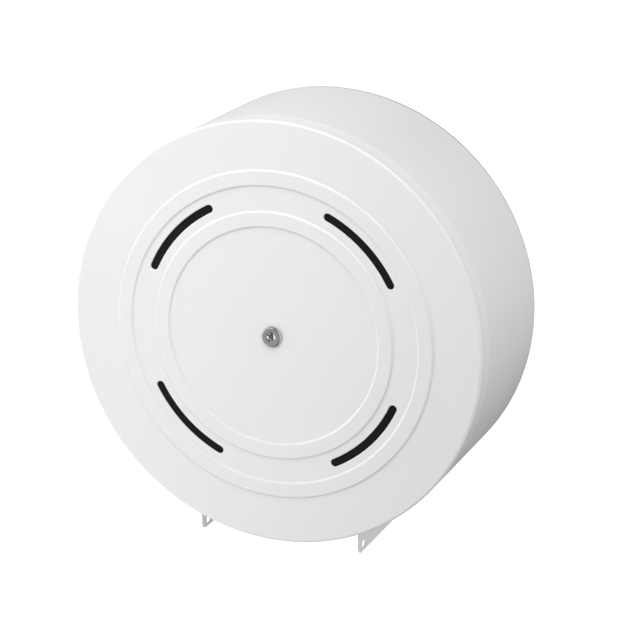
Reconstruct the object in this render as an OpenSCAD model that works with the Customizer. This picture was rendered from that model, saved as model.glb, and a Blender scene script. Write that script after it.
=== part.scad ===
// Wall-mounted drum dispenser with a turning four-armed carrier inside.
// Millimetres. The origin is on the wall, on the drum's axis: +X right, +Z up, the front faces -Y.
// Every piece is drawn lying on the wall plane (x right, y up, z away from the wall),
// and stand() then tips the whole model upright.

/* [Drum] */
// Outer diameter of the drum and of its cover
drum_d = 320; // [300:1:360]
// Distance from the wall to the cover's front face
body_depth = 125; // [118:1:150]
// Sheet thickness of the drum wall
drum_t = 1; // [0.8:0.1:1.5]
// Sheet thickness of the back plate
back_t = 1.5; // [1:0.1:2]
// Height of the flange that the drum wall is welded round
back_flange_h = 6; // [4:0.5:12]
// Sheet thickness of that flange
back_flange_t = 1.2; // [0.8:0.1:2]
// Side of the square on which the four wall holes lie
wall_hole_spacing = 150; // [130:1:170]
// Diameter of the wall holes
wall_hole_d = 6.5; // [5:0.1:8]

/* [Paper outlet] */
// Clear width of the outlet between the two lugs
outlet_w = 126; // [110:1:140]
// Sheet thickness of a lug
lug_t = 1.2; // [0.8:0.1:2]
// How far a lug's foot hangs below the drum's lowest line
lug_drop = 6; // [4:0.5:20]
// Distance from the drum wall's edge to a lug's end, front and rear
lug_end_gap = 0.4; // [0.2:0.1:4]
// How far the lower part of a lug reaches in front of the drum wall, under the cover
lug_nose = 5.8; // [2:0.1:8]
// Gap between the cover's skirt and the lug's front part below it
lug_nose_gap = 1.2; // [0.8:0.1:3]
// Radius of a lug's lower corners
lug_corner_r = 6; // [3:0.5:8]
// Diameter of the holes in a lug
lug_hole_d = 6.4; // [4:0.1:8]
// Distance from a lug hole's centre to the lug's foot
lug_hole_inset = 5.5; // [5:0.5:9]
// Distance from a lug hole's centre to the lug's front or rear end
lug_hole_end = 10.4; // [7:0.1:14]

/* [Front rim] */
// Sheet thickness of the rim that the cover is pushed over
rim_t = 1.2; // [0.8:0.1:1.5]
// How far the rim reaches back inside the drum wall
rim_overlap = 6; // [4:0.5:10]
// Gap between the rim's front edge and the inside of the cover's disc
rim_front_gap = 3.6; // [3.4:0.1:6]

/* [Cover] */
// Sheet thickness of the cover
cover_t = 1; // [0.8:0.1:1.2]
// Radius of the cover's rounded edge
cover_edge_r = 2; // [1.5:0.1:4]
// Depth of the cover's skirt, from the front face
skirt_depth = 16; // [14:0.5:20]
// Gap between the skirt's rear edge and the drum wall's front edge
skirt_gap = 0.4; // [0.3:0.1:1]
// Gap between the skirt's inside and the rim
rim_side_gap = 0.5; // [0.35:0.05:1]
// Height of the two pressed ridges
ridge_h = 1.2; // [0.8:0.1:2.5]
// Width of a ridge's sloping side
ridge_slope = 1.2; // [1:0.1:3]
// Middle radius of the outer ridge
outer_ridge_r = 118.2; // [116:0.1:122]
// Middle radius of the inner ridge
inner_ridge_r = 87.9; // [84:0.1:90]
// Width of a ridge, between the middles of its sides
ridge_w = 11.2; // [8:0.1:13]
// Radius of the sight slots' centre line
slot_r = 103.2; // [102:0.1:105]
// Width of a sight slot
slot_w = 6; // [4:0.1:7]
// Angle between the centres of a slot's two round ends
slot_sweep = 36.9; // [20:0.1:50]
// Turn of the slots, anticlockwise from the diagonals
slot_turn = 1.8; // [0:0.1:5]
// Number of sight slots
slot_count = 4; // [2:1:6]

/* [Sight window] */
// Thickness of the smoked window ring behind the slots
window_t = 2; // [1.5:0.1:3]
// Width of the window ring
window_w = 10; // [9:0.1:11]
// Thickness of a window clip
clip_t = 1; // [0.6:0.1:1.5]
// Length of a window clip's foot
clip_foot = 2.6; // [1.5:0.1:3]
// Width of a window clip
clip_w = 10; // [6:0.5:16]

/* [Axle] */
// Outer diameter of the fixed axle tube
axle_d = 20; // [20:0.5:22]
// Bore of the axle tube
axle_bore = 15; // [14.2:0.1:16]
// Diameter of the axle's flange
flange_d = 64; // [58:1:80]
// Thickness of the axle's flange
flange_t = 3; // [2:0.5:4]
// Circle of the flange's rivets
rivet_circle_d = 48; // [46:1:50]
// Number of rivets
rivet_count = 4; // [3:1:6]
// Shank diameter of a rivet
rivet_d = 5; // [4:0.5:6]
// Diameter of a rivet's head
rivet_head_d = 8.4; // [8:0.1:9]
// Height of a rivet's head
rivet_head_h = 1.4; // [1:0.1:1.5]

/* [Carrier] */
// Distance from the drum's axis to each spindle's axis
spindle_pitch = 88; // [84:0.5:92]
// Number of spindles
spindle_count = 4; // [4:1:4]
// Outer diameter of a spindle
spindle_d = 32; // [26:0.5:34]
// Wall of a spindle
spindle_t = 1.6; // [1.2:0.1:2.5]
// Length of a spindle's tube
spindle_len = 98; // [80:1:100]
// Thickness of a spindle's cap
cap_t = 2.4; // [2:0.1:4]
// Depth of the cap's plug in the tube
cap_plug = 8; // [4:0.5:12]
// Thickness of the carrier plate
carrier_t = 2; // [1.5:0.1:3]
// Diameter of the carrier's middle
carrier_hub_d = 72; // [60:1:76]
// Width of a carrier arm
carrier_arm_w = 36; // [34:1:40]
// Outer diameter of the hub tube
hub_d = 34; // [32:0.5:36]
// Wall of the hub tube
hub_t = 2; // [1.5:0.1:3]
// Length of a bush inside the hub tube
bush_len = 14; // [8:0.5:20]
// Thickness of a bush's flange
bush_flange_t = 1.5; // [1:0.1:2]
// Thickness of each thrust washer
washer_t = 1.5; // [1:0.1:2]
// Free play between a bush and its thrust washer
end_play = 0.15; // [0.1:0.05:0.5]
// Radial running clearance of the bushes on the axle
bush_clear = 0.06; // [0.02:0.01:0.1]
// Thickness of the axle's retaining ring
ring_t = 1.5; // [1:0.1:2]
// Distance from that ring to the axle's front end
ring_setback = 7.7; // [5:0.1:12]
// Depth of the groove that holds the ring
ring_groove = 0.8; // [0.5:0.1:1]
// Width of the retaining ring, from its bore outwards
ring_w = 3.4; // [2.5:0.1:4]
// Opening of the retaining ring
ring_mouth = 9; // [6:0.5:12]

/* [Spindle screws] */
// Shank diameter of a spindle screw
screw_d = 5; // [4:0.5:6]
// Diameter of a spindle screw's head
screw_head_d = 9; // [8:0.5:10]
// Height of a spindle screw's head
screw_head_h = 2.4; // [2:0.1:2.5]
// Length of the screw inside the spindle's foot
screw_grip = 9; // [6:0.5:12]
// Thickness of the spindle's solid foot
spindle_foot = 14; // [12.5:0.5:20]
// Width of a cross recess's arm
recess_w = 1; // [0.6:0.1:1.2]
// Depth of a cross recess
recess_depth = 1.2; // [0.8:0.1:1.5]

/* [Lock] */
// Diameter of the lock's face
lock_face_d = 15.7; // [15:0.1:18]
// Height of the lock's face above the cover
lock_face_h = 2.2; // [1.5:0.1:3]
// Bevel round the lock's face
lock_bevel = 1; // [0.4:0.1:1.2]
// Diameter of the lock's threaded barrel
barrel_d = 12; // [11.5:0.1:13]
// Length of the barrel behind the cover's front face
barrel_len = 13; // [10:0.5:13.5]
// Diameter of the plug's head
plug_head_d = 7.2; // [6.6:0.1:8]
// Thickness of the plug's head
plug_head_h = 3; // [2:0.1:4]
// Diameter of the plug's shank
plug_d = 6; // [5:0.1:6.2]
// Depth of the plug's head below the lock's face
plug_recess = 0.9; // [0.4:0.1:1.5]
// Radial running clearance of the plug
plug_clear = 0.05; // [0.02:0.01:0.1]
// Width of the keyway
keyway_w = 1.5; // [1:0.1:2]
// Height of the keyway
keyway_h = 5; // [3:0.1:5.5]
// Depth of the keyway
keyway_depth = 9; // [5:0.5:10]
// Width of the index notch over the keyway
notch_w = 1.3; // [0.8:0.1:2]
// Height of the index notch
notch_h = 2; // [1:0.1:2.5]
// Diameter of the stem that passes through the catch
stem_d = 4.2; // [3.8:0.1:4.4]
// Length of the lock's cam bar
cam_len = 12; // [9:0.5:12.5]
// Width of the cam bar
cam_w = 4.2; // [3.5:0.1:4.4]
// Thickness of the cam bar
cam_t = 2.4; // [1.5:0.1:3]
// Side of the stem's square end
square_w = 2.8; // [2.4:0.1:3]
// Diameter of the cam screw's head
cam_screw_head_d = 5; // [4.5:0.1:6]
// Height of the cam screw's head
cam_screw_head_h = 1.6; // [1.2:0.1:2]
// Shank diameter of the cam screw
cam_screw_d = 1.6; // [1.2:0.1:1.8]
// Length of the cam screw's shank
cam_screw_len = 6; // [4:0.5:8]
// Width across the flats of the lock nut
nut_w = 16; // [15.5:0.1:18]
// Thickness of the lock nut
nut_t = 4; // [3:0.1:5]
// Outer diameter of the lock washer
lock_washer_d = 19; // [18:0.5:20]
// Thickness of the lock washer
lock_washer_t = 0.8; // [0.6:0.1:1]

/* [Catch] */
// Thickness of the catch plate on the axle's end
catch_t = 2; // [1.5:0.1:3]
// Gap between the cam bar and the catch plate's rear face
cam_gap = 0.4; // [0.3:0.1:1]
// Clearance of the cam bar in the catch's slot, each side
catch_clear = 0.35; // [0.3:0.05:0.6]
// Depth of the catch plate's spigot in the axle tube
catch_spigot = 1.2; // [0.8:0.1:1.5]

/* [Hidden] */

$fn = 96;
through = 1;            // how far a cutting shape runs past what it cuts
slip = 0.05;            // clearance of a push fit between pieces that don't move
quarter = 90;
root_share = 0.6;       // how far through the drum wall's thickness the root of a lug lies
edge_steps = 10;        // straight steps round the cover's rounded edge

white = [0.93, 0.93, 0.94];
zinc = [0.72, 0.73, 0.74];
nylon = [0.88, 0.87, 0.82];

drum_r = drum_d / 2;
drum_inner_r = drum_r - drum_t;
drum_front = body_depth - skirt_depth - skirt_gap;
drum_len = drum_front - back_t;

rim_inner_r = drum_r - cover_t - rim_side_gap - rim_t;
rim_front = body_depth - cover_t - rim_front_gap;
rim_rear = drum_front - rim_overlap;

lug_reach = drum_r + lug_drop;
lug_inner_x = outlet_w / 2;
lug_outer_x = lug_inner_x + lug_t;
lug_root_r = drum_inner_r + root_share * drum_t;
lug_top = sqrt(lug_root_r * lug_root_r - lug_outer_x * lug_outer_x);
lug_rear = back_t + lug_end_gap;
lug_front = drum_front - lug_end_gap;
lug_tip = lug_front + lug_nose;
lug_nose_top = sqrt(drum_r * drum_r - lug_inner_x * lug_inner_x) + lug_nose_gap;

cover_inside = body_depth - cover_t;
slot_step = 360 / slot_count;
window_inner_r = slot_r - window_w / 2;
window_outer_r = slot_r + window_w / 2;
window_rear = cover_inside - window_t;

barrel_rear = body_depth - barrel_len;
lock_face = body_depth + lock_face_h;
plug_face = lock_face - plug_recess;
plug_head_rear = plug_face - plug_head_h;
catch_front = barrel_rear - catch_t;            // the same air behind the barrel as the catch is thick
catch_rear = catch_front - catch_t;
cam_front = catch_rear - catch_spigot - cam_gap;
cam_rear = cam_front - cam_t;

axle_r = axle_d / 2;
axle_front = catch_rear;
flange_front = back_t + flange_t;
carousel_rear = flange_front + washer_t + end_play;
carrier_rear = carousel_rear + bush_flange_t;
hub_rear = carrier_rear + carrier_t;
hub_inner_r = hub_d / 2 - hub_t;
ring_rear = axle_front - ring_setback - ring_t;
front_washer_rear = ring_rear - washer_t;
hub_front = front_washer_rear - end_play - bush_flange_t;
groove_r = axle_r - ring_groove;
spindle_step = 360 / spindle_count;
spindle_front = hub_rear + spindle_len;

// Tips what is drawn on the wall plane upright, so that its front faces -Y.
module stand() {
    rotate([90, 0, 0])
        children();
}

// A round bar from one height to another, with an optional bore.
module bar(r, low, high, bore_r = 0) {
    translate([0, 0, low])
        difference() {
            cylinder(h = high - low, r = r);
            if (bore_r > 0)
                translate([0, 0, -through])
                    cylinder(h = high - low + 2 * through, r = bore_r);
        }
}

// Repeats a piece on a circle round the drum's axis.
module on_circle(count, r, start = 0) {
    for (i = [0 : count - 1])
        rotate([0, 0, start + i * 360 / count])
            translate([r, 0, 0])
                children();
}

// A cross-shaped recess whose floor lies at z = 0, opening towards -Z.
module cross_recess(length) {
    for (turn = [0, quarter])
        rotate([0, 0, turn])
            translate([-length / 2, -recess_w / 2, -through])
                cube([length, recess_w, through + recess_depth]);
}

module back_plate() {
    color(zinc)
        difference() {
            union() {
                bar(drum_r, 0, back_t);
                bar(drum_inner_r, 0, back_t + back_flange_h, drum_inner_r - back_flange_t);
            }
            for (x = [-1, 1], y = [-1, 1])
                translate([x * wall_hole_spacing / 2, y * wall_hole_spacing / 2, -through])
                    cylinder(h = back_t + 2 * through, d = wall_hole_d);
            on_circle(rivet_count, rivet_circle_d / 2, quarter / 2)
                translate([0, 0, -through])
                    cylinder(h = back_t + 2 * through, d = rivet_d);
        }
}

// A lug's outline in the drum's depth (x) and height (y).
module lug_outline() {
    difference() {
        union() {
            translate([lug_rear, -lug_reach + lug_corner_r])
                square([lug_front - lug_rear, lug_reach - lug_corner_r - lug_top]);
            polygon([
                [lug_front - lug_nose, -lug_nose_top],
                [lug_front, -lug_nose_top],
                [lug_tip, -lug_nose_top - lug_nose / 2],
                [lug_tip, -lug_reach + lug_corner_r],
                [lug_front - lug_nose, -lug_reach + lug_corner_r]
            ]);
            translate([lug_rear + lug_corner_r, -lug_reach])
                square([lug_tip - lug_rear - 2 * lug_corner_r, 2 * lug_corner_r]);
            for (x = [lug_rear + lug_corner_r, lug_tip - lug_corner_r])
                translate([x, -lug_reach + lug_corner_r])
                    circle(r = lug_corner_r);
        }
        for (x = [lug_rear + lug_hole_end, lug_tip - lug_hole_end])
            translate([x, -lug_reach + lug_hole_inset])
                circle(d = lug_hole_d);
    }
}

module drum_wall() {
    color(white)
        union() {
            difference() {
                bar(drum_r, back_t, drum_front, drum_inner_r);
                translate([-lug_inner_x, -drum_d, back_t - through])
                    cube([outlet_w, drum_d, drum_len + 2 * through]);
            }
            for (side = [-1, 1])
                translate([side * (lug_inner_x + lug_t / 2), 0, 0])
                    rotate([0, -quarter, 0])
                        translate([0, 0, -lug_t / 2])
                            linear_extrude(lug_t)
                                lug_outline();
        }
}

module front_rim() {
    color(white)
        rotate_extrude()
            polygon([
                [rim_inner_r, rim_rear],
                [drum_inner_r, rim_rear],
                [drum_inner_r, drum_front],
                [rim_inner_r + rim_t, drum_front],
                [rim_inner_r + rim_t, rim_front],
                [rim_inner_r, rim_front]
            ]);
}

module axle_flange() {
    color(zinc)
        difference() {
            bar(flange_d / 2, back_t, flange_front, axle_r + slip);
            on_circle(rivet_count, rivet_circle_d / 2, quarter / 2)
                translate([0, 0, back_t - through])
                    cylinder(h = flange_t + 2 * through, d = rivet_d);
        }
}

module axle_tube() {
    color(zinc)
        difference() {
            bar(axle_r, back_t, axle_front, axle_bore / 2);
            difference() {
                bar(axle_r + through, ring_rear, ring_rear + ring_t);
                bar(groove_r, ring_rear - through, ring_rear + ring_t + through);
            }
        }
}

// Rivets through the flange and the back plate, flush with the wall.
module flange_rivets() {
    color(zinc)
        on_circle(rivet_count, rivet_circle_d / 2, quarter / 2) {
            cylinder(h = flange_front + rivet_head_h / 2, d = rivet_d - 2 * slip);
            translate([0, 0, flange_front])
                cylinder(h = rivet_head_h, d1 = rivet_head_d, d2 = rivet_d);
        }
}

module thrust_washer(low) {
    color(nylon)
        bar(hub_d / 2, low, low + washer_t, axle_r + bush_clear);
}

module retaining_ring() {
    color(zinc)
        difference() {
            bar(groove_r + ring_w, ring_rear, ring_rear + ring_t, groove_r + slip);
            translate([-ring_mouth / 2, 0, ring_rear - through])
                cube([ring_mouth, drum_r, ring_t + 2 * through]);
        }
}

// Plate on the axle's end; its slot lets the cam bar in when the bar stands upright.
module lock_catch() {
    color(zinc)
        difference() {
            union() {
                bar(axle_r, catch_rear, catch_front);
                bar(axle_bore / 2 - slip, catch_rear - catch_spigot, catch_front);
            }
            translate([-cam_w / 2 - catch_clear, -cam_len / 2 - catch_clear, cam_front])
                cube([cam_w + 2 * catch_clear, cam_len + 2 * catch_clear, barrel_len]);
        }
}

module carrier_plate() {
    color(white)
        difference() {
            union() {
                bar(carrier_hub_d / 2, carrier_rear, hub_rear);
                on_circle(spindle_count, 0)
                    translate([0, -carrier_arm_w / 2, carrier_rear])
                        cube([spindle_pitch, carrier_arm_w, carrier_t]);
                on_circle(spindle_count, spindle_pitch)
                    bar(carrier_arm_w / 2, carrier_rear, hub_rear);
            }
            bar(hub_inner_r, carrier_rear - through, hub_rear + through);
            on_circle(spindle_count, spindle_pitch)
                bar(screw_d / 2 + slip, carrier_rear - through, hub_rear + through);
        }
}

module hub_tube() {
    color(white)
        bar(hub_d / 2, hub_rear, hub_front, hub_inner_r);
}

// A flanged bush: the flange lies outside the hub, the sleeve inside it.
module bush(flange_low, sleeve_low, sleeve_high) {
    color(nylon)
        difference() {
            union() {
                bar(hub_d / 2, flange_low, flange_low + bush_flange_t);
                bar(hub_inner_r - slip, sleeve_low, sleeve_high);
            }
            bar(axle_r + bush_clear, sleeve_low - through, sleeve_high + through);
        }
}

module rear_bush() {
    bush(carousel_rear, carousel_rear, hub_rear + bush_len);
}

module front_bush() {
    bush(hub_front, hub_front - bush_len, hub_front + bush_flange_t);
}

module spindle(turn) {
    color(white)
        rotate([0, 0, turn])
            translate([spindle_pitch, 0, 0])
                difference() {
                    bar(spindle_d / 2, hub_rear, spindle_front);
                    bar(spindle_d / 2 - spindle_t, hub_rear + spindle_foot, spindle_front + through);
                    bar(screw_d / 2 + slip, hub_rear - through, hub_rear + screw_grip);
                }
}

module cap(turn) {
    color(white)
        rotate([0, 0, turn])
            translate([spindle_pitch, 0, 0]) {
                bar(spindle_d / 2 - spindle_t - slip, spindle_front - cap_plug, spindle_front);
                rotate_extrude()
                    polygon([
                        [0, spindle_front],
                        [spindle_d / 2, spindle_front],
                        [spindle_d / 2, spindle_front + cap_t / 2],
                        [spindle_d / 2 - cap_t / 2, spindle_front + cap_t],
                        [0, spindle_front + cap_t]
                    ]);
            }
}

module spindle_screws() {
    color(zinc)
        on_circle(spindle_count, spindle_pitch)
            difference() {
                union() {
                    bar(screw_head_d / 2, carrier_rear - screw_head_h, carrier_rear);
                    bar(screw_d / 2, carrier_rear - screw_head_h, hub_rear + screw_grip);
                }
                translate([0, 0, carrier_rear - screw_head_h])
                    cross_recess(screw_d);
            }
}

// The cover's outline from its middle hole to the skirt's rear edge, as radius and height,
// drawn back from the outer surface by inset.
function cover_outline(inset) =
    let (
        face = body_depth - inset,
        edge = cover_edge_r - inset,
        base = (ridge_w + ridge_slope - inset) / 2,
        crest = (ridge_w - ridge_slope - inset) / 2
    ) [
        [barrel_d / 2 + slip, face],
        for (middle = [inner_ridge_r, outer_ridge_r])
            for (side = [[-base, 0], [-crest, ridge_h], [crest, ridge_h], [base, 0]])
                [middle + side[0], face + side[1]],
        for (turn = [0 : quarter / edge_steps : quarter])
            [drum_r - inset - edge * (1 - sin(turn)), face - edge * (1 - cos(turn))],
        [drum_r - inset, body_depth - skirt_depth]
    ];

function reversed(list) = [for (i = [len(list) - 1 : -1 : 0]) list[i]];

module slot_cut() {
    half = slot_sweep / 2;
    rotate([0, 0, -half])
        rotate_extrude(angle = slot_sweep)
            translate([slot_r - slot_w / 2, cover_inside - through])
                square([slot_w, cover_t + 2 * through]);
    for (end = [-half, half])
        rotate([0, 0, end])
            translate([slot_r, 0, cover_inside - through])
                cylinder(h = cover_t + 2 * through, d = slot_w);
}

module front_cover() {
    color(white)
        difference() {
            rotate_extrude()
                polygon(concat(cover_outline(0), reversed(cover_outline(cover_t))));
            on_circle(slot_count, 0, slot_step / 2 + slot_turn)
                slot_cut();
        }
}

module sight_window() {
    color([0.08, 0.08, 0.09])
        bar(window_outer_r, window_rear, cover_inside, window_inner_r);
}

// Straps welded to the cover's inside, between the slots, that hold the window ring.
module window_clips() {
    color(zinc)
        on_circle(slot_count, 0)
            difference() {
                translate([window_inner_r - clip_foot, -clip_w / 2, window_rear - clip_t])
                    cube([window_w + 2 * clip_foot, clip_w, window_t + clip_t]);
                bar(window_outer_r + slip, window_rear, cover_inside + through, window_inner_r - slip);
            }
}

module lock_housing() {
    color(zinc)
        difference() {
            union() {
                rotate_extrude()
                    polygon([
                        [0, body_depth],
                        [lock_face_d / 2, body_depth],
                        [lock_face_d / 2, lock_face - lock_bevel],
                        [lock_face_d / 2 - lock_bevel, lock_face],
                        [0, lock_face]
                    ]);
                bar(barrel_d / 2, barrel_rear, body_depth + lock_bevel);
            }
            bar(plug_head_d / 2 + plug_clear, plug_head_rear - plug_clear, lock_face + through);
            bar(plug_d / 2 + plug_clear, barrel_rear - through, lock_face);
            translate([-notch_w / 2, plug_head_d / 2 - notch_h / 2, plug_face])
                cube([notch_w, notch_h, lock_face_h]);
        }
}

module lock_washer() {
    color(zinc)
        bar(lock_washer_d / 2, cover_inside - lock_washer_t, cover_inside, barrel_d / 2 + slip);
}

module lock_nut() {
    nut_front = cover_inside - lock_washer_t;
    color(zinc)
        difference() {
            translate([0, 0, nut_front - nut_t])
                cylinder(h = nut_t, r = nut_w / 2 / cos(30), $fn = 6);
            bar(barrel_d / 2 + slip, nut_front - nut_t - through, nut_front + through);
        }
}

module lock_plug() {
    color([0.6, 0.6, 0.6])
        difference() {
            union() {
                bar(plug_head_d / 2, plug_head_rear, plug_face);
                bar(plug_d / 2, barrel_rear, plug_face);
                bar(stem_d / 2, cam_front, plug_face);
                translate([-square_w / 2, -square_w / 2, cam_rear])
                    cube([square_w, square_w, cam_t + through]);
            }
            translate([-keyway_w / 2, -keyway_h / 2, plug_face - keyway_depth])
                cube([keyway_w, keyway_h, keyway_depth + through]);
            bar(cam_screw_d / 2 + slip, cam_rear - through, cam_rear + cam_screw_len);
        }
}

// Bar that turns behind the catch plate; round ends keep it clear of the axle's bore.
module lock_cam() {
    color(zinc)
        difference() {
            intersection() {
                bar(cam_len / 2, cam_rear, cam_front);
                translate([-cam_w / 2, -cam_len, cam_rear - through])
                    cube([cam_w, 2 * cam_len, cam_t + 2 * through]);
            }
            translate([-square_w / 2 - slip, -square_w / 2 - slip, cam_rear - through])
                cube([square_w + 2 * slip, square_w + 2 * slip, cam_t + 2 * through]);
        }
}

module cam_screw() {
    color(zinc)
        difference() {
            union() {
                bar(cam_screw_head_d / 2, cam_rear - cam_screw_head_h, cam_rear);
                bar(cam_screw_d / 2, cam_rear - cam_screw_head_h / 2, cam_rear + cam_screw_len - slip);
            }
            translate([-cam_screw_head_d, -recess_w / 2, cam_rear - cam_screw_head_h - through])
                cube([2 * cam_screw_head_d, recess_w, through + cam_screw_head_h / 2]);
        }
}

stand() {
    back_plate();
    drum_wall();
    front_rim();
    axle_flange();
    axle_tube();
    flange_rivets();
    thrust_washer(flange_front);  // rear_washer
    thrust_washer(front_washer_rear);  // front_washer
    retaining_ring();
    lock_catch();
    carrier_plate();
    hub_tube();
    rear_bush();
    front_bush();
    spindle(0);  // spindle_right
    spindle(spindle_step);  // spindle_top
    spindle(2 * spindle_step);  // spindle_left
    spindle(3 * spindle_step);  // spindle_bottom
    cap(0);  // cap_right
    cap(spindle_step);  // cap_top
    cap(2 * spindle_step);  // cap_left
    cap(3 * spindle_step);  // cap_bottom
    spindle_screws();
    front_cover();
    sight_window();
    window_clips();
    lock_housing();
    lock_washer();
    lock_nut();
    lock_plug();
    lock_cam();
    cam_screw();
}
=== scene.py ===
# Round wall-mounted drum dispenser: detailed pieces, materials, light and camera.
# Lengths are millimetres in the drawing frame (x right, y up, z away from the wall) until mesh()
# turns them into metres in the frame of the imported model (X right, -Y away from the wall, Z up).
import math
import bmesh
import bpy
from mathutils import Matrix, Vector
from mathutils.geometry import delaunay_2d_cdt


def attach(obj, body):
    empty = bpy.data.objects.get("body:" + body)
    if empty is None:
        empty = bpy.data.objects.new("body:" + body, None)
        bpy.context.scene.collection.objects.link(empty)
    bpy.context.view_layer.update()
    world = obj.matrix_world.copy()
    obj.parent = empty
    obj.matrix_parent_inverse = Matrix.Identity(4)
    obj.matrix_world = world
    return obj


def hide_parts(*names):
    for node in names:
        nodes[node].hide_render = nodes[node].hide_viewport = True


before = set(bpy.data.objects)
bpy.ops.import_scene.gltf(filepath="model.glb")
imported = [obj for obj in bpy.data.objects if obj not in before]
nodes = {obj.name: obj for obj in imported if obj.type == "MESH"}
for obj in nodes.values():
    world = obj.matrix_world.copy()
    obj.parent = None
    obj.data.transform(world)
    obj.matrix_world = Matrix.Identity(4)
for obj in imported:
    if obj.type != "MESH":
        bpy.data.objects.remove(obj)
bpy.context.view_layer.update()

TAU = 2 * math.pi


# ---------------------------------------------------------------- sizes, as in the CAD source
R = 160.0                       # outer radius of drum, cover and back
FACE = 125.0                    # front face of the cover
DRUM_T = 1.0                    # sheet thickness of drum wall and cover
DRUM_Z0, DRUM_Z1 = 1.5, 108.6   # rear and front edge of the drum wall
SKIRT_Z = 109.0                 # rear edge of the cover's skirt
SPINDLE_R = 88.0                # circle on which the spindles stand
HUB_Z0, HUB_Z1 = 9.65, 95.65    # rear and front end of the hub
LUG_IN, LUG_OUT = 63.0, 64.2    # inner and outer face of a lug, from the middle
LUG_T = 1.2
LUG_FOOT = -166.0
BACK_T = 1.5
RIVET_RING = 24                 # circle on which the axle's rivets stand
CAM_Z0, CAM_Z1 = 104.0, 106.4   # rear and front of the cam bar


# ---------------------------------------------------------------- materials
def new_material(name, color, rough, metal=0.0, **sockets):
    m = bpy.data.materials.new(name)
    m.use_nodes = True
    b = m.node_tree.nodes["Principled BSDF"]
    b.inputs["Base Color"].default_value = (*color, 1)
    b.inputs["Roughness"].default_value = rough
    b.inputs["Metallic"].default_value = metal
    for key, value in sockets.items():
        b.inputs[key.replace("_", " ")].default_value = value
    m.diffuse_color = (*color, 1)
    return m, m.node_tree, b


def noise(tree, scale, detail=2.0, stretch=None):
    coord = tree.nodes.new("ShaderNodeTexCoord")
    tex = tree.nodes.new("ShaderNodeTexNoise")
    tex.inputs["Scale"].default_value = scale
    tex.inputs["Detail"].default_value = detail
    if stretch:
        mapping = tree.nodes.new("ShaderNodeMapping")
        mapping.inputs["Scale"].default_value = stretch
        tree.links.new(coord.outputs["Object"], mapping.inputs["Vector"])
        tree.links.new(mapping.outputs["Vector"], tex.inputs["Vector"])
    else:
        tree.links.new(coord.outputs["Object"], tex.inputs["Vector"])
    return tex.outputs["Fac"]


def spread(tree, source, low, high, lo_in=0.3, hi_in=0.7):
    n = tree.nodes.new("ShaderNodeMapRange")
    n.inputs["From Min"].default_value = lo_in
    n.inputs["From Max"].default_value = hi_in
    n.inputs["To Min"].default_value = low
    n.inputs["To Max"].default_value = high
    tree.links.new(source, n.inputs["Value"])
    return n.outputs["Result"]


def tint(tree, bsdf, source, dark, light, lo_in=0.3, hi_in=0.7):
    ramp = tree.nodes.new("ShaderNodeValToRGB")
    ramp.color_ramp.elements[0].position = lo_in
    ramp.color_ramp.elements[0].color = (*dark, 1)
    ramp.color_ramp.elements[1].position = hi_in
    ramp.color_ramp.elements[1].color = (*light, 1)
    tree.links.new(source, ramp.inputs["Fac"])
    tree.links.new(ramp.outputs["Color"], bsdf.inputs["Base Color"])


def bump(tree, bsdf, source, strength, depth, before=None):
    n = tree.nodes.new("ShaderNodeBump")
    n.inputs["Strength"].default_value = strength
    n.inputs["Distance"].default_value = depth
    tree.links.new(source, n.inputs["Height"])
    if before:
        tree.links.new(before, n.inputs["Normal"])
    tree.links.new(n.outputs["Normal"], bsdf.inputs["Normal"])
    return n.outputs["Normal"]


def powder_coat():
    m, t, b = new_material("white_powder_coat", (0.86, 0.855, 0.875), 0.34, Coat_Weight=0.25,
                           Coat_Roughness=0.12, Specular_IOR_Level=0.5)
    tint(t, b, noise(t, 5.0, 3.0), (0.848, 0.843, 0.864), (0.871, 0.866, 0.884))
    t.links.new(spread(t, noise(t, 16.0, 2.0), 0.30, 0.38), b.inputs["Roughness"])
    peel = bump(t, b, noise(t, 420.0, 1.5), 0.12, 0.00012)
    bump(t, b, noise(t, 2600.0, 2.0), 0.05, 0.00004, peel)
    return m


def zinc():
    m, t, b = new_material("zinc_plated_steel", (0.62, 0.63, 0.65), 0.38, 1.0)
    tint(t, b, noise(t, 45.0, 4.0), (0.53, 0.54, 0.56), (0.68, 0.69, 0.70), 0.35, 0.65)
    t.links.new(spread(t, noise(t, 160.0, 4.0), 0.30, 0.50), b.inputs["Roughness"])
    bump(t, b, noise(t, 900.0, 3.0), 0.10, 0.00006)
    return m


def rolled_zinc():
    """Zinc-plated sheet with the faint vertical grain of rolling and its crystals."""
    m, t, b = new_material("zinc_plated_sheet", (0.60, 0.61, 0.63), 0.42, 1.0)
    coord = t.nodes.new("ShaderNodeTexCoord")
    cells = t.nodes.new("ShaderNodeTexVoronoi")
    cells.inputs["Scale"].default_value = 130.0
    t.links.new(coord.outputs["Object"], cells.inputs["Vector"])
    grey = t.nodes.new("ShaderNodeSeparateColor")
    t.links.new(cells.outputs["Color"], grey.inputs["Color"])
    tint(t, b, grey.outputs["Red"], (0.52, 0.53, 0.55), (0.66, 0.67, 0.69), 0.0, 1.0)
    t.links.new(spread(t, grey.outputs["Green"], 0.34, 0.48, 0.0, 1.0), b.inputs["Roughness"])
    bump(t, b, noise(t, 300.0, 3.0, (6.0, 1.0, 0.25)), 0.10, 0.00006)
    return m


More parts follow.
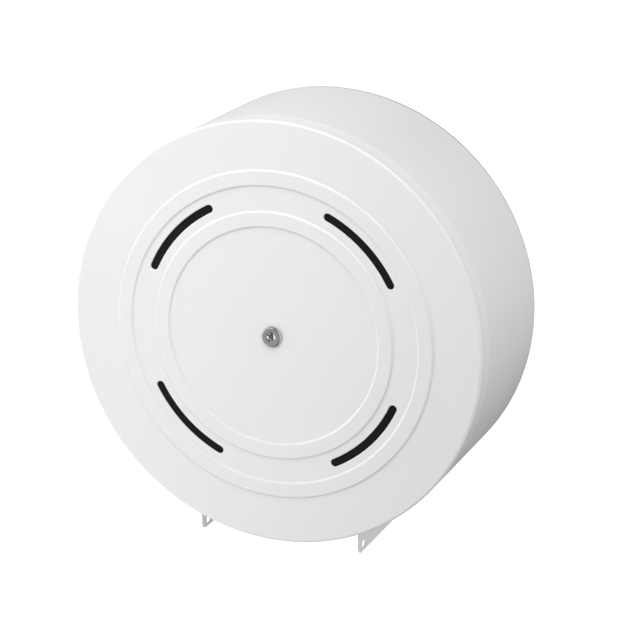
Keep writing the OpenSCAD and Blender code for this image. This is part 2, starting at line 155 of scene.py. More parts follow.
def nickel(name, dark, light, rough):
    m, t, b = new_material(name, light, rough, 1.0)
    tint(t, b, noise(t, 700.0, 3.0), dark, light)
    t.links.new(spread(t, noise(t, 1500.0, 3.0), rough - 0.05, rough + 0.06), b.inputs["Roughness"])
    coord = t.nodes.new("ShaderNodeTexCoord")
    rings = t.nodes.new("ShaderNodeTexWave")
    rings.wave_type = "RINGS"
    rings.rings_direction = "Y"
    rings.inputs["Scale"].default_value = 900.0
    rings.inputs["Distortion"].default_value = 0.6
    t.links.new(coord.outputs["Object"], rings.inputs["Vector"])
    bump(t, b, rings.outputs["Fac"], 0.10, 0.00003)
    return m


def plastic(name, dark, light, rough, grain=600.0, strength=0.08, **sockets):
    m, t, b = new_material(name, light, rough, **sockets)
    tint(t, b, noise(t, 14.0, 3.0), dark, light)
    t.links.new(spread(t, noise(t, 30.0, 2.0), rough - 0.04, rough + 0.05), b.inputs["Roughness"])
    bump(t, b, noise(t, grain, 2.0), strength, 0.00006)
    return m


WHITE = powder_coat()
ZINC = zinc()
SHEET = rolled_zinc()
NICKEL = nickel("satin_nickel", (0.54, 0.54, 0.53), (0.66, 0.66, 0.65), 0.28)
CORE = nickel("bright_nickel", (0.82, 0.82, 0.81), (0.92, 0.92, 0.91), 0.16)
PLASTIC = plastic("white_gloss_plastic", (0.80, 0.80, 0.79), (0.86, 0.86, 0.85), 0.24)
NYLON = plastic("nylon", (0.70, 0.68, 0.60), (0.77, 0.75, 0.67), 0.48, 900.0, 0.12)
# Near-black acrylic with hardly any gloss, for the ring behind the slots: painted shade that makes the slots look
# black like a dark hollow.
SLOT_SHADE_BLACK = plastic("slot_shade_black_acrylic", (0.008, 0.008, 0.009), (0.011, 0.011, 0.012), 0.32, 200.0, 0.02,
                Specular_IOR_Level=0.12)


# ---------------------------------------------------------------- mesh building
class Shell:
    """Points and faces of one piece."""

    def __init__(self):
        self.points = []
        self.faces = []

    def add(self, points):
        first = len(self.points)
        self.points.extend(points)
        return list(range(first, len(self.points)))

    def level(self, loop, z):
        """Adds the points of a flat loop at height z."""
        return self.add([(x, y, z) for x, y in loop])

    def bridge(self, a, b, closed=True):
        """Quads between two rows of point numbers of the same length."""
        n = len(a)
        for i in range(n if closed else n - 1):
            j = (i + 1) % n
            self.faces.append((a[i], a[j], b[j], b[i]))

    def stack(self, rows, closed=True):
        """Quads between each row and the next."""
        for a, b in zip(rows, rows[1:]):
            self.bridge(a, b, closed)

    def fill(self, rows, to2d=lambda p: p[:2]):
        """Triangles over the flat region inside the first row and outside the others."""
        flat, edges, back = [], [], []
        for row in rows:
            start = len(flat)
            flat.extend(to2d(self.points[i]) for i in row)
            back.extend(row)
            edges.extend((start + k, start + (k + 1) % len(row)) for k in range(len(row)))
        loops = [[to2d(self.points[i]) for i in row] for row in rows]
        found = delaunay_2d_cdt([Vector(p) for p in flat], edges, [], 0, 1e-7)
        coords, tris, origin = found[0], found[2], found[3]

        def source(i):
            """The row's point that became point i of the triangles."""
            if origin[i]:
                return back[origin[i][0]]
            return back[min(range(len(flat)), key=lambda k: (Vector(flat[k]) - coords[i]).length)]

        for tri in tris:
            c = sum((coords[i] for i in tri), Vector((0, 0))) / 3
            if sum(inside(loop, c) for loop in loops) % 2:
                corners = [source(i) for i in tri]
                if len(set(corners)) == 3:
                    self.faces.append(tuple(corners))


def inside(loop, p):
    """Whether point p lies inside the loop."""
    hit = False
    for (x0, y0), (x1, y1) in zip(loop, loop[1:] + loop[:1]):
        if (y0 > p[1]) != (y1 > p[1]) and p[0] < (x1 - x0) * (p[1] - y0) / (y1 - y0) + x0:
            hit = not hit
    return hit


def area(loop):
    """Area of a loop, negative when it runs clockwise."""
    return sum(x0 * y1 - x1 * y0 for (x0, y0), (x1, y1) in zip(loop, loop[1:] + loop[:1])) / 2


def inset(loop, d):
    """A counter-clockwise loop drawn in by d; a clockwise one, which is a hole, grows."""
    out = []
    n = len(loop)
    for i, (x, y) in enumerate(loop):
        (x0, y0), (x1, y1) = loop[i - 1], loop[(i + 1) % n]
        a = Vector((x - x0, y - y0)).normalized()
        b = Vector((x1 - x, y1 - y)).normalized()
        na, nb = Vector((-a.y, a.x)), Vector((-b.y, b.x))
        shift = (na + nb) / max(0.3, 1 + na.dot(nb)) * d
        out.append((x + shift.x, y + shift.y))
    return out


def circle(r, n=48, cx=0.0, cy=0.0):
    return [(cx + r * math.cos(TAU * i / n), cy + r * math.sin(TAU * i / n)) for i in range(n)]


def spun(loop, turn):
    """A loop turned about the origin, anticlockwise."""
    c, d = math.cos(turn), math.sin(turn)
    return [(x * c - y * d, x * d + y * c) for x, y in loop]


def box_loop(half_x, half_y, radius):
    """An upright rectangle about the origin with rounded corners."""
    return soften([(-half_x, -half_y, radius), (half_x, -half_y, radius),
                   (half_x, half_y, radius), (-half_x, half_y, radius)])


def soften(points, closed=True):
    """Rounds the corners of a polyline. Each point is (x, y) or (x, y, radius)."""
    out = []
    n = len(points)
    for i, p in enumerate(points):
        here = Vector(p[:2])
        radius = p[2] if len(p) > 2 else 0
        if radius <= 0 or (not closed and i in (0, n - 1)):
            out.append(tuple(here))
            continue
        before, after = Vector(points[i - 1][:2]), Vector(points[(i + 1) % n][:2])
        u, v = before - here, after - here
        half = u.angle(v) / 2
        cut = min(radius / math.tan(half), 0.499 * u.length, 0.499 * v.length)
        r = cut * math.tan(half)
        u.normalize()
        v.normalize()
        centre = here + (u + v).normalized() * (r / math.sin(half))
        a, b = here + u * cut - centre, here + v * cut - centre
        turn = a.angle_signed(b)
        steps = max(2, math.ceil(abs(turn) / math.radians(22)))
        for k in range(steps + 1):
            t = -turn * k / steps
            out.append((centre.x + a.x * math.cos(t) - a.y * math.sin(t),
                        centre.y + a.x * math.sin(t) + a.y * math.cos(t)))
    return out


def lathe(shell, profile, n=96, cx=0.0, cy=0.0):
    """Turns a closed (r, z) profile round an axis along z. Points on the axis become one pole."""
    rows = []
    for r, z in profile:
        if r < 1e-6:
            rows.append(shell.add([(cx, cy, z)]))
        else:
            rows.append(shell.level(circle(r, n, cx, cy), z))
    for a, b in zip(rows, rows[1:] + rows[:1]):
        if len(a) == 1 and len(b) == 1:
            continue
        if len(a) == 1:
            shell.faces.extend((a[0], b[(i + 1) % n], b[i]) for i in range(n))
        elif len(b) == 1:
            shell.faces.extend((b[0], a[i], a[(i + 1) % n]) for i in range(n))
        else:
            shell.bridge(a, b)


def edge_profile(thick, soft, steps=3):
    """(inset, depth) round the edge of a sheet, from its upper face to its lower one."""
    turns = [math.pi / 2 * k / steps for k in range(steps + 1)]
    quarter = [(soft * (1 - math.sin(a)), soft * (1 - math.cos(a))) for a in turns]
    return quarter + [(o, thick - d) for o, d in reversed(quarter)]


def plate(shell, loops, low, high, soft=0.25, steps=3):
    """A flat plate with rounded edges: the first loop is its outline, the others are holes."""
    uppers, lowers = [], []
    for k, loop in enumerate(loops):
        anticlockwise = area(loop) > 0
        if anticlockwise != (k == 0):
            loop = loop[::-1]
        rows = [shell.level(inset(loop, o), high - d) for o, d in edge_profile(high - low, soft, steps)]
        shell.stack(rows)
        uppers.append(rows[0])
        lowers.append(rows[-1])
    shell.fill(uppers)
    shell.fill(lowers)


def mesh(shell, name, body, material, slot, *replaced, sharp=None):
    """Makes the object, in metres, with outward faces and normals that keep flat faces flat."""
    me = bpy.data.meshes.new(name)
    me.from_pydata([(x / 1000, -z / 1000, y / 1000) for x, y, z in shell.points], [], shell.faces)
    me.validate()
    bm = bmesh.new()
    bm.from_mesh(me)
    bmesh.ops.recalc_face_normals(bm, faces=bm.faces)
    bm.to_mesh(me)
    bm.free()
    me.materials.append(material)
    me.shade_smooth()
    if sharp:
        me.set_sharp_from_angle(angle=math.radians(sharp))
    obj = bpy.data.objects.new(name, me)
    bpy.context.scene.collection.objects.link(obj)
    normals = obj.modifiers.new("flat faces stay flat", "WEIGHTED_NORMAL")
    normals.keep_sharp = True
    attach(obj, body)
    if replaced:
        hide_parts(*replaced)


# ---------------------------------------------------------------- cover
COVER_STEPS = 360               # one step of its turned faces is one degree
EDGE_R = 2.0
LOCK_HOLE_R = 6.1
RIDGES = (87.9, 118.2)
RIDGE_W, RIDGE_SLOPE, RIDGE_H = 11.2, 1.2, 1.2
FOOT_BEND, CREST_BEND = 0.5, 1.0
SLOT_R, SLOT_W, SLOT_SWEEP = 103.2, 6.0, 36.9
SLOT_MIDS = (46.8, 136.8, 226.8, 316.8)
# The flat patch round a slot that is left out of the turned faces and filled: radii, half angle in degrees.
PATCH_IN, PATCH_OUT, PATCH_HALF = 98.6, 107.8, 22
# A slot's wall, as (growth of the outline, depth below the face).
SLOT_WALL = ((0.60, 0.0), (0.40, 0.04), (0.21, 0.14), (0.08, 0.28), (0.0, 0.55), (0.0, 0.85), (0.05, 0.95),
             (0.15, DRUM_T))


def cover_side(offset):
    """The cover's outline from the lock hole to the edge, drawn back by offset, as (r, z, radius)."""
    z = FACE - offset
    base = (RIDGE_W + RIDGE_SLOPE - offset) / 2
    crest = (RIDGE_W - RIDGE_SLOPE - offset) / 2
    inner, outer = RIDGES
    ridge = ((-1, base, 0, FOOT_BEND), (-1, crest, RIDGE_H, CREST_BEND),
             (1, crest, RIDGE_H, CREST_BEND), (1, base, 0, FOOT_BEND))
    return ([(LOCK_HOLE_R, z, 0)]
            + [(inner + s * w, z + h, bend) for s, w, h, bend in ridge]
            + [(PATCH_IN, z, 0), (PATCH_OUT, z, 0)]
            + [(outer + s * w, z + h, bend) for s, w, h, bend in ridge])


def slot_outline(mid, grow):
    """A slot's outline, made larger by grow, as (x, y), anticlockwise."""
    half = math.radians(SLOT_SWEEP / 2)
    width = SLOT_W / 2 + grow
    arc, end = 32, 12
    pts = []
    for side in (1, -1):
        w = side * width
        for k in range(arc + 1):
            a = mid - side * half + side * 2 * half * k / arc
            pts.append(((SLOT_R + w) * math.cos(a), (SLOT_R + w) * math.sin(a)))
        a = mid + side * half
        for k in range(1, end):
            t = math.pi * k / end
            pts.append((SLOT_R * math.cos(a) + w * math.cos(a + t),
                        SLOT_R * math.sin(a) + w * math.sin(a + t)))
    return pts


def make_cover():
    s = Shell()
    n = COVER_STEPS
    # Behind its rounded edge the skirt steps in by half a millimetre and widens again to its rear edge.
    outer = cover_side(0) + [(R, FACE, EDGE_R), (R, 119.2, 0.8), (R - 0.5, 118.2, 1.2), (R, SKIRT_Z + 0.5, 0.3),
                             (R, SKIRT_Z, 0.35)]
    inner = cover_side(DRUM_T) + [(R - DRUM_T, FACE - DRUM_T, EDGE_R - DRUM_T), (R - DRUM_T, SKIRT_Z, 0.35)]
    outline = soften(outer + inner[::-1])
    rows = [s.level(circle(r, n), z) for r, z in outline]

    def ring(r, z):
        """The row nearest to radius r and height z."""
        return rows[min(range(len(outline)), key=lambda k: abs(outline[k][0] - r) + abs(outline[k][1] - z))]

    skipped = [(ring(PATCH_IN, z), ring(PATCH_OUT, z)) for z in (FACE, FACE - DRUM_T)]
    gone = set()
    for mid in SLOT_MIDS:
        gone.update((round(mid) + k) % n for k in range(-PATCH_HALF, PATCH_HALF))
    for a, b in zip(rows, rows[1:] + rows[:1]):
        flat = any({a[0], b[0]} == {p[0], q[0]} for p, q in skipped)
        for i in range(n):
            if not (flat and i in gone):
                j = (i + 1) % n
                s.faces.append((a[i], a[j], b[j], b[i]))
    for mid in SLOT_MIDS:
        loops = [s.level(slot_outline(math.radians(mid), grow), FACE - depth) for grow, depth in SLOT_WALL]
        s.stack(loops)
        span = [(round(mid) + k) % n for k in range(-PATCH_HALF, PATCH_HALF + 1)]
        for (a, b), hole in zip(skipped, (loops[0], loops[-1])):
            s.fill([[a[i] for i in span] + [b[i] for i in reversed(span)], hole])
    mesh(s, "cover_pressing", "cover", WHITE, "white_enamel", "front_cover")


# ---------------------------------------------------------------- drum wall with its two lugs
def side_path(r, x, bend):
    """Right half of one surface of the wall, from the drum's top to the end of its bend into the lug."""
    cx = x + bend
    cy = -math.sqrt((r + bend) ** 2 - cx ** 2)
    stop = math.atan2(cy, cx)
    wall_steps, bend_steps = 220, 8
    pts = []
    for k in range(wall_steps + 1):
        a = math.pi / 2 + (stop - math.pi / 2) * k / wall_steps
        pts.append((r * math.cos(a), r * math.sin(a)))
    for k in range(1, bend_steps + 1):
        a = stop + math.pi - stop * k / bend_steps
        pts.append((cx + bend * math.cos(a), cy + bend * math.sin(a)))
    return pts


def lug_edge(rear, front):
    """A lug's free edge from its front root to its rear one, as (y, z) and the way inwards."""
    corner, steps = 6.0, 8
    nose, nose_top = 5.8, -148.28      # the part under the cover's skirt: its reach and where it begins
    tip = front + nose
    mitre = (-0.618, -1.0)             # the way inwards at both ends of the nose's slope
    line = [(nose_top, front, *mitre), (nose_top - nose / 2, tip, *mitre)]
    y, z0, z1 = LUG_FOOT + corner, rear + corner, tip - corner
    turns = [math.pi / 2 * k / steps for k in range(steps + 1)]
    line += [(y - corner * math.sin(a), z1 + corner * math.cos(a), math.sin(a), -math.cos(a)) for a in turns]
    line += [(y - corner * math.cos(a), z0 - corner * math.sin(a), math.cos(a), math.sin(a)) for a in turns]
    return line, tip


def make_drum_wall():
    s = Shell()
    gap, gap_steps = 0.4, 8            # from the wall's edges to the lugs' ends, and over how many steps
    hole_r, hole_up, hole_end, hole_steps = 3.2, 5.5, 10.4, 40
    bend_out, bend_in = 1.6, 2.8       # radii of the bend's two surfaces
    edge = edge_profile(DRUM_T, 0.3)

    outer = side_path(R, LUG_OUT, bend_out)
    inner = side_path(R - DRUM_T, LUG_IN, bend_in)
    outer[-1] = (LUG_OUT, outer[-1][1])
    inner[-1] = (LUG_IN, outer[-1][1])
    path = [((-o[0], o[1]), (-i[0], i[1])) for o, i in zip(reversed(outer), reversed(inner))][:-1]
    path += list(zip(outer, inner))
    last = len(path) - 1
    rings = []
    for k, (o, i) in enumerate(path):
        back = gap * max(0.0, 1 - min(k, last - k) / gap_steps)
        ring = []
        for high in (True, False):
            for off, t in (edge if high else edge[::-1]):
                ring.append((o[0] + (i[0] - o[0]) * t, o[1] + (i[1] - o[1]) * t,
                             DRUM_Z1 - back - off if high else DRUM_Z0 + back + off))
        rings.append(s.add(ring))
    s.stack(rings)

    rear = DRUM_Z0 + gap
    line, tip = lug_edge(rear, DRUM_Z1 - gap)
    for ring, sign in ((rings[0], -1), (rings[last], 1)):
        rows = [ring[:len(edge)]]
        for y, z, ny, nz in line:
            rows.append(s.add([(sign * (LUG_OUT - LUG_T * d), y + ny * o, z + nz * o) for o, d in edge]))
        rows.append(ring[len(edge):][::-1])
        s.stack(rows, closed=False)
        holes_out, holes_in = [], []
        for middle in (rear + hole_end, tip - hole_end):
            loops = [s.add([(sign * (LUG_OUT - LUG_T * d), LUG_FOOT + hole_up + y, middle + z)
                            for y, z in circle(hole_r + o, hole_steps)])
                     for o, d in edge_profile(DRUM_T, 0.2, 2)]
            s.stack(loops)
            holes_out.append(loops[0])
            holes_in.append(loops[-1])
        s.fill([[row[0] for row in rows]] + holes_out, lambda p: p[1:])
        s.fill([[row[-1] for row in rows]] + holes_in, lambda p: p[1:])
    mesh(s, "drum_sheet", "root", WHITE, "white_enamel", "drum_wall")


# ---------------------------------------------------------------- other pieces of the drum
def around(r, count=4, start=0.0):
    """Points on a circle, from start degrees on."""
    angles = [math.radians(start + k * 360 / count) for k in range(count)]
    return [(r * math.cos(a), r * math.sin(a)) for a in angles]


def make_back():
    s = Shell()
    rivets = [circle(2.5, 32, x, y) for x, y in around(RIVET_RING, 4, 45)]
    walls = [circle(3.25, 32, x, y) for x in (-75, 75) for y in (-75, 75)]
    plate(s, [circle(R, 360)] + rivets + walls, 0, BACK_T, 0.45)
    lathe(s, soften([(157.8, BACK_T), (159.0, BACK_T), (159.0, 7.5, 0.5), (157.8, 7.5, 0.5)]), 360)
    mesh(s, "back_disc", "root", SHEET, "zinc_steel", "back_plate")


def make_rim():
    s = Shell()
    lathe(s, soften([(157.3, 102.6, 0.4), (159.0, 102.6, 0.4), (159.0, 108.6, 0.5), (158.5, 109.0, 0.5),
                     (158.5, 120.4, 0.55), (157.3, 120.4, 0.55)]), 360)
    mesh(s, "rim_band", "root", WHITE, "white_enamel", "front_rim")


def turned(name, body, material, slot, node, profile, n=96, centres=((0.0, 0.0),)):
    """A piece turned from one (r, z, radius) profile round each centre."""
    s = Shell()
    for cx, cy in centres:
        lathe(s, soften(profile), n, cx, cy)
    mesh(s, name, body, material, slot, node)


def make_axle():
    s = Shell()
    holes = [circle(2.5, 32, x, y) for x, y in around(RIVET_RING, 4, 45)] + [circle(10.05, 64)]
    plate(s, [circle(32, 128)] + holes, BACK_T, 4.5, 0.5)
    mesh(s, "axle_foot", "root", ZINC, "zinc_steel", "axle_flange")
    turned("axle_pipe", "root", ZINC, "zinc_steel", "axle_tube",
           [(7.5, BACK_T, 0.3), (10, BACK_T, 0.3), (10, 98.8, 0.15), (9.2, 98.8), (9.2, 100.3), (10, 100.3, 0.15),
            (10, 108, 0.4), (7.5, 108, 0.3)])
    turned("rivet_heads", "root", ZINC, "zinc_steel", "flange_rivets",
           [(0, 0), (2.45, 0, 0.2), (2.45, 4.5), (4.2, 4.5, 0.3), (3.4, 5.5, 0.9), (1.6, 5.9, 1.0), (0, 5.9)],
           n=32, centres=around(RIVET_RING, 4, 45))
    turned("washer_rear", "root", NYLON, "nylon", "rear_washer",
           [(10.06, 4.5, 0.2), (17, 4.5, 0.3), (17, 6.0, 0.3), (10.06, 6.0, 0.2)])
    turned("washer_front", "root", NYLON, "nylon", "front_washer",
           [(10.06, 97.3, 0.2), (17, 97.3, 0.3), (17, 98.8, 0.3), (10.06, 98.8, 0.2)])
    s = Shell()
    r_out, r_in, mouth, steps = 12.6, 9.25, 4.5, 60    # the open ring: radii, half its opening, points
    half_out, half_in = math.asin(mouth / r_out), math.asin(mouth / r_in)
    ring = [(r_out * math.cos(a), r_out * math.sin(a)) for a in
            (math.pi / 2 + half_out + (TAU - 2 * half_out) * k / steps for k in range(steps + 1))]
    ring += [(r_in * math.cos(a), r_in * math.sin(a)) for a in
             (math.pi / 2 - half_in - (TAU - 2 * half_in) * k / steps for k in range(steps + 1))]
    plate(s, [ring], 98.8, 100.3, 0.25)
    mesh(s, "spring_ring", "root", ZINC, "zinc_steel", "retaining_ring")
    s = Shell()
    slot = box_loop(2.45, 6.35, 0.5)
    plate(s, [circle(10, 72), slot], 108, 110, 0.35)
    plate(s, [circle(7.45, 72), slot], 106.8, 108, 0.15)
    mesh(s, "catch_disc", "root", ZINC, "zinc_steel", "lock_catch")


# ---------------------------------------------------------------- carousel
def make_carousel():
    s = Shell()
    arm_r, middle_r = 18, 36
    root = soften([(26.0, -24.9), (31.18, -arm_r, 7.0), (60, -arm_r)], closed=False)[1:-1]
    end = [-math.pi / 2 + math.pi * j / 24 for j in range(25)]
    between = [math.radians(41 + 2 * j) for j in range(5)]
    arm = root + [(SPINDLE_R + arm_r * math.cos(a), arm_r * math.sin(a)) for a in end]
    arm += [(x, -y) for x, y in root][::-1]
    arm += [(middle_r * math.cos(a), middle_r * math.sin(a)) for a in between]
    outline = [p for k in range(4) for p in spun(arm, TAU * k / 4)]
    holes = [circle(15, 64)] + [circle(2.55, 24, x, y) for x, y in around(SPINDLE_R)]
    plate(s, [outline] + holes, 7.65, 9.65, 0.5)
    mesh(s, "carrier_star", "carousel", WHITE, "white_enamel", "carrier_plate")
    turned("hub_pipe", "carousel", WHITE, "white_enamel", "hub_tube",
           [(15, HUB_Z0, 0.3), (17, HUB_Z0, 0.3), (17, HUB_Z1, 0.5), (15, HUB_Z1, 0.3)])
    turned("bush_rear", "carousel", NYLON, "nylon", "rear_bush",
           [(10.06, 6.15, 0.2), (17, 6.15, 0.4), (17, 7.65, 0.3), (14.95, 7.65), (14.95, 23.65, 0.5),
            (10.06, 23.65, 0.4)])
    turned("bush_front", "carousel", NYLON, "nylon", "front_bush",
           [(10.06, 81.65, 0.4), (14.95, 81.65, 0.5), (14.95, 95.65), (17, 95.65, 0.3), (17, 97.15, 0.4),
            (10.06, 97.15, 0.2)])
    for name, (x, y) in zip(("right", "top", "left", "bottom"), around(SPINDLE_R)):
        turned("spindle_tube_" + name, "carousel", PLASTIC, "white_plastic", "spindle_" + name,
               [(0, 18.65), (2.55, 18.65), (2.55, 9.65, 0.2), (16, 9.65, 0.5), (16, 107.65, 0.3),
                (14.4, 107.65, 0.2), (14.4, 23.65, 0.8), (0, 23.65)], centres=((x, y),))
        turned("spindle_end_" + name, "carousel", PLASTIC, "white_plastic", "cap_" + name,
               [(0, 99.65), (14.35, 99.65, 0.5), (14.35, 107.65), (16, 107.65, 0.3), (16, 110.05, 1.2),
                (5.2, 110.05, 0.6), (4.6, 109.55, 0.6), (1.3, 109.55, 0.3), (1.1, 109.8, 0.2), (0, 109.8)],
               centres=((x, y),))


# ---------------------------------------------------------------- what the cover carries
# The black ring behind the slots is painted shade that makes them read as a dark interior; zinc straps hold it to
# the cover.
def make_slot_shade_window():
    turned("slot_shade_ring", "cover", SLOT_SHADE_BLACK, "smoked_window", "sight_window",
           [(98.2, 122, 0.3), (108.2, 122, 0.3), (108.2, 124, 0.3), (98.2, 124, 0.3)], n=240)
    near, far, half, corner = 95.6, 110.8, 5, 1.5

    def arc(r, way):
        """The foot's side that follows the ring."""
        h = math.asin(half / r)
        turns = [(-h + 2 * h * j / 8) * way for j in range(9)]
        return [(r * math.cos(t), r * math.sin(t)) for t in turns]

    strap = soften([(near, -half, corner), (far, -half, corner), (far, half, corner), (near, half, corner)])
    foot_in = soften([(near, -half, corner)] + arc(98.15, 1) + [(near, half, corner)])
    foot_out = soften(arc(108.25, -1) + [(far, -half, corner), (far, half, corner)])
    s = Shell()
    for k in range(4):
        for loop, lo, hi in ((strap, 121, 122), (foot_in, 122, 124), (foot_out, 122, 124)):
            plate(s, [spun(loop, TAU * k / 4)], lo, hi, 0.15, 2)
    mesh(s, "window_straps", "cover", ZINC, "zinc_steel", "window_clips")


def make_lock_housing():
    s = Shell()
    n = 96
    r, nh = 3.65, 0.65                 # the recess for the plug and half its notch
    front, floor = 127.2, 126.25       # the face, and the notch's floor
    t = math.asin(nh / r)
    turns = [math.pi / 2 + t + (TAU - 2 * t) * k / 60 for k in range(61)]
    recess = [(r * math.cos(a), r * math.sin(a)) for a in turns] + [(nh, 4.6), (-nh, 4.6)]
    face = circle(7.85, n)
    rows = [s.level(inset(face, o), z)
            for o, z in ((1.35, front), (1.05, 127.16), (0.8, 127.05), (0.25, 126.5), (0.07, 126.25), (0.0, 126.0),
                         (0.0, 125.25), (0.08, 125.07), (0.25, FACE))]
    barrel = [(6.0, FACE), (6.0, 124.4)]
    for k in range(12):                # the barrel's thread
        barrel += [(g, 124.0 - k - dz) for g, dz in ((6.0, 0.0), (5.95, 0.12), (5.62, 0.5), (5.95, 0.88))]
    barrel += [(5.4, 112.3), (5.2, 112.0)]
    rows += [s.level(circle(g, n), z) for g, z in barrel]
    s.stack(rows)
    well = recess[::-1]
    deep = [s.level(inset(well, g), z) for g, z in ((0.14, front), (0.04, 127.14), (0.0, 127.0), (0.0, floor))]
    s.stack(deep)
    s.fill([rows[0], deep[0]])
    low = deep[-1]
    across = s.add([(r * math.cos(math.pi / 2 + t * k), r * math.sin(math.pi / 2 + t * k), floor)
                    for k in (0.5, 0.0, -0.5)])
    s.fill([low[:3] + across[::-1] + [low[-1]]])
    bore = [low[2:] + across]
    angles = [math.atan2(s.points[i][1], s.points[i][0]) for i in bore[0]]
    for g, z in ((r, 123.25), (3.05, 123.25), (3.05, 112.0)):
        bore.append(s.level([(g * math.cos(a), g * math.sin(a)) for a in angles], z))
    s.stack(bore)
    s.fill([rows[-1], bore[-1]])
    mesh(s, "lock_body", "cover", NICKEL, "lock_metal", "lock_housing")


def make_lock_nut():
    turned("lock_shim", "cover", ZINC, "zinc_steel", "lock_washer",
           [(6.05, 123.2, 0.15), (9.5, 123.2, 0.25), (9.5, 124, 0.25), (6.05, 124, 0.15)])
    s = Shell()
    hexagon = [(x, y, 1.0) for x, y in circle(8 / math.cos(math.pi / 6), 6)]
    plate(s, [soften(hexagon), circle(6.05, 64)], 119.2, 123.2, 0.4)
    mesh(s, "lock_hexagon", "cover", ZINC, "zinc_steel", "lock_nut")


def make_lock_plug():
    s = Shell()
    n = 64
    front, dish_r = 126.3, 3.4         # the plug's face and the radius at which its hollow begins
    key = box_loop(0.75, 2.5, 0.3)[::-1]

    def dish(r):
        """Height of the hollowed face at radius r."""
        deep = max(0.0, min(1.0, (dish_r - r) / 2.2))
        return front - 2.0 * (1 - (1 - deep) ** 2)

    rings = [s.level(circle(r, n), dish(r)) for r in (dish_r, 3.25, 3.1, 2.95, 2.8, 2.65)]
    outer = [s.level(circle(r, n), z)
             for r, z in ((3.48, front), (3.57, 126.2), (3.6, 126.05), (3.6, 123.3), (3.0, 123.3), (3.0, 112.3),
                          (2.7, 112.0), (2.1, 112.0), (2.1, 106.6), (1.9, CAM_Z1))]
    s.stack(outer)
    s.bridge(outer[0], rings[0])
    s.stack(rings)
    mouth = [s.add([(x, y, dish(math.hypot(x, y)) - dz) for x, y in inset(key, g)])
             for g, dz in ((0.12, 0.0), (0.0, 0.12))]
    floor = s.level(key, 117.3)
    s.stack(mouth + [floor])
    s.fill([rings[-1], mouth[0]])
    s.fill([floor])
    square = [s.level(box_loop(1.4, 1.4, 0.2), z) for z in (CAM_Z1, CAM_Z0)]
    s.fill([outer[-1], square[0]])
    s.stack(square)
    bore = [s.level(circle(0.85, 24), z) for z in (CAM_Z0, 110.0)]
    s.stack(bore)
    s.fill([square[1], bore[0]])
    s.fill([bore[1]])
    mesh(s, "lock_core", "lock", CORE, "lock_metal", "lock_plug", sharp=35)


def make_lock_cam():
    s = Shell()
    reach, half, steps = 6, 2.1, 10    # the bar's half length, half width and the points of its round ends
    tilt = math.asin(half / reach)
    turns = [math.pi / 2 - tilt + 2 * tilt * k / steps for k in range(steps + 1)]
    bar = [(reach * math.cos(a), reach * math.sin(a)) for a in turns]
    bar += [(-x, -y) for x, y in bar]
    plate(s, [bar, box_loop(1.45, 1.45, 0.2)], CAM_Z0, CAM_Z1, 0.3)
    mesh(s, "lock_bar", "lock", ZINC, "zinc_steel", "lock_cam")


make_cover()
make_drum_wall()
make_back()
make_rim()
make_axle()
make_carousel()
make_slot_shade_window()
make_lock_housing()
make_lock_nut()
make_lock_plug()
make_lock_cam()
for name in ("spindle_screws", "cam_screw"):
    for slot in nodes[name].material_slots:
        slot.material = ZINC


# ---------------------------------------------------------------- stage, light and camera
# In metres.
DRUM = (0, -0.1, 0)             # the point that the lights stand round
FLOOR_HALF, FLOOR_Z = 30, -3    # low enough for a camera that looks up at the drum


def add_floor():
    """Pale floor far below the object; it neither lights the object nor shows in its gloss."""
    m, t, b = new_material("studio_floor", (0.9, 0.9, 0.9), 0.9, Emission_Strength=0.9)
    b.inputs["Emission Color"].default_value = (1, 1, 1, 1)
    tint(t, b, noise(t, 3.0, 2.0), (0.895, 0.895, 0.895), (0.905, 0.905, 0.905))
    me = bpy.data.meshes.new("studio_floor")
    me.from_pydata([(x * FLOOR_HALF, y * FLOOR_HALF, 0) for x, y in ((-1, -1), (1, -1), (1, 1), (-1, 1))],
                   [], [(0, 1, 2, 3)])
    me.materials.append(m)
    floor = bpy.data.objects.new("studio_floor", me)
    floor.location = (0, 0, FLOOR_Z)
    floor.visible_diffuse = floor.visible_glossy = floor.visible_shadow = False
    bpy.context.scene.collection.objects.link(floor)


def add_light(name, kind, direction, distance, target, power, size, cone=None, glossy=True):
    """direction is the azimuth from -Y towards +X and the elevation, in degrees, from the drum."""
    az, el = (math.radians(a) for a in direction)
    place = Vector((math.sin(az) * math.cos(el), -math.cos(az) * math.cos(el), math.sin(el)))
    place = place * distance + Vector(DRUM)
    data = bpy.data.lights.new(name, kind)
    data.energy = power
    if kind == "AREA":
        data.size = size
    else:
        data.shadow_soft_size = size
        data.spot_size = math.radians(cone)
        data.spot_blend = 1.0
    light = bpy.data.objects.new(name, data)
    light.location = place
    light.rotation_euler = (Vector(target) - place).to_track_quat("-Z", "Y").to_euler()
    light.visible_glossy = glossy
    bpy.context.scene.collection.objects.link(light)


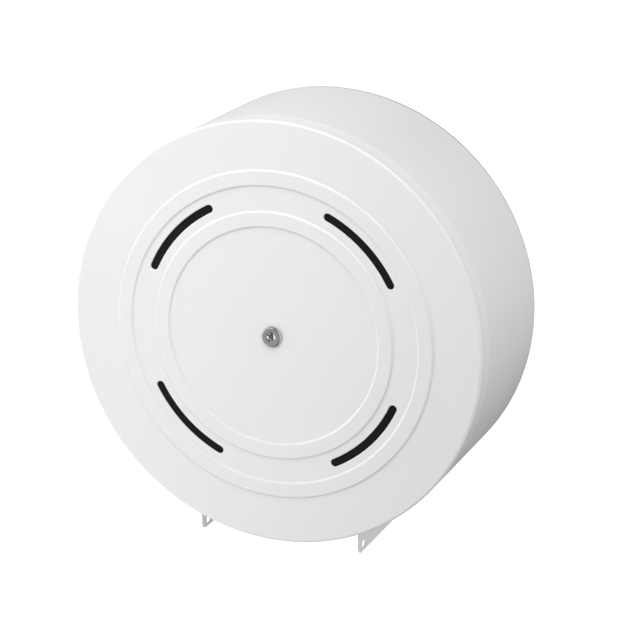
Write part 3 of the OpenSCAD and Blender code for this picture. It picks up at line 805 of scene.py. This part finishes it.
def add_world(lobes):
    """A white room, brighter on some sides: each lobe is a direction and its strength there."""
    world = bpy.data.worlds.new("studio")
    world.use_nodes = True
    tree = world.node_tree
    coord = tree.nodes.new("ShaderNodeTexCoord")
    total = None
    for axis, strength in lobes:
        dot = tree.nodes.new("ShaderNodeVectorMath")
        dot.operation = "DOT_PRODUCT"
        dot.inputs[1].default_value = axis
        tree.links.new(coord.outputs["Generated"], dot.inputs[0])
        side = tree.nodes.new("ShaderNodeMath")
        side.operation = "MAXIMUM"
        side.inputs[1].default_value = 0
        tree.links.new(dot.outputs["Value"], side.inputs[0])
        add = tree.nodes.new("ShaderNodeMath")
        add.operation = "MULTIPLY_ADD"
        add.inputs[1].default_value = strength
        add.inputs[2].default_value = 0
        tree.links.new(side.outputs[0], add.inputs[0])
        if total:
            tree.links.new(total, add.inputs[2])
        total = add.outputs[0]
    seen = tree.nodes.new("ShaderNodeLightPath")
    white = tree.nodes.new("ShaderNodeMath")
    white.operation = "MAXIMUM"
    tree.links.new(total, white.inputs[0])
    tree.links.new(seen.outputs["Is Camera Ray"], white.inputs[1])
    tree.links.new(white.outputs[0], tree.nodes["Background"].inputs["Strength"])
    tree.nodes["Background"].inputs["Color"].default_value = (1, 1, 1, 1)
    bpy.context.scene.world = world


def add_camera():
    data = bpy.data.cameras.new("camera")
    data.sensor_width = 36
    data.lens = 127.724
    data.clip_start, data.clip_end = 0.05, 100
    cam = bpy.data.objects.new("camera", data)
    cam.location = (0.6234, -1.5596, 0.5132)
    yaw, pitch = math.radians(22.2129), math.radians(-17.7455)
    look = Vector((-math.sin(yaw) * math.cos(pitch), math.cos(yaw) * math.cos(pitch), math.sin(pitch)))
    cam.rotation_euler = look.to_track_quat("-Z", "Y").to_euler()
    bpy.context.scene.collection.objects.link(cam)
    bpy.context.scene.camera = cam


add_floor()
add_world([((-1, 0, 0), 1.207), ((1, 0, 0), 1.022)])
add_light("key", "SPOT", (-20, 30), 1.3, (-0.12, -0.12, 0.07), 12.9, 0.2, 24)
# The others stay out of reflections, so that they leave no highlights on the lock's bevel.
add_light("top", "AREA", (20, 60), 1.3, DRUM, 8.4, 0.7, glossy=False)
add_light("upper_left", "AREA", (-45, 62), 0.6, DRUM, 0.46, 0.3, glossy=False)
add_light("lower_left", "AREA", (-45, -40), 0.85, DRUM, 2.2, 0.5, glossy=False)
add_camera()
bpy.context.scene.view_settings.view_transform = "Standard"

bpy.context.view_layer.update()
